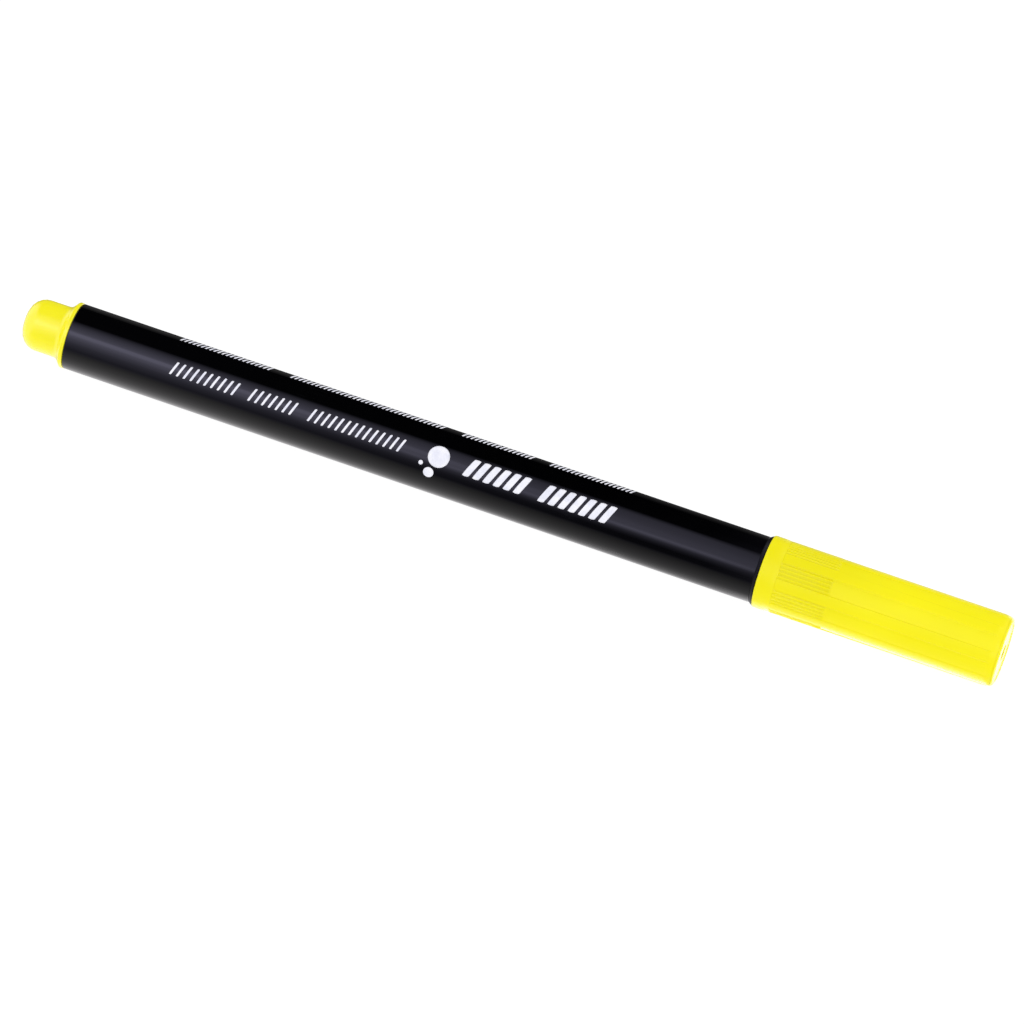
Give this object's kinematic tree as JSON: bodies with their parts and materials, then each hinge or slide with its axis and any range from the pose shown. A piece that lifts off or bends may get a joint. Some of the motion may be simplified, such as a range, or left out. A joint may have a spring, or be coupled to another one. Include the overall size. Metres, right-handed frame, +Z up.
{
  "type": "fabric marking pen",
  "caption": "Slim capped fibre-tip pen for marking fabric: a long plain tube, a panelled pull-off cap with a vent in its end, and a round tail plug.",
  "frame": {"origin": "on the surface that the pen lies on, under the middle of its length", "axes": "+X along the pen, from the tail plug to the cap's end; +Z up, with the pen lying on its side; Y across it"},
  "size_m": [0.145, 0.0104, 0.0104],
  "materials": {
    "barrel_black": "smooth moulded polypropylene, satin gloss",
    "section_black": "smooth moulded polypropylene, satin gloss",
    "plug_yellow": "smooth moulded polypropylene, slightly translucent",
    "cap_yellow": "smooth moulded polypropylene, slightly translucent",
    "inner_cap_natural": "natural soft polyethylene",
    "nib_fibre": "bonded polyester fibre, wet with blue ink",
    "wick_fibre": "bundled polyester fibre, soaked with blue ink",
    "film_clear": "clear wrapping film",
    "print_white": "screen-printed white ink on the barrel, a plain stitch pattern"
  },
  "bodies": {
    "pen": {"barrel": "barrel_black", "front_section": "section_black", "nib": "nib_fibre", "ink_reservoir": "wick_fibre", "reservoir_film": "film_clear", "tail_plug": "plug_yellow"},
    "cap": {"cap": "cap_yellow", "inner_cap": "inner_cap_natural"}
  },
  "joints": [
    {"name": "cap_pull_off", "type": "slide", "parent": "pen", "child": "cap", "axis": [1, 0, 0], "range_m": [0, 0.04]}
  ]
}
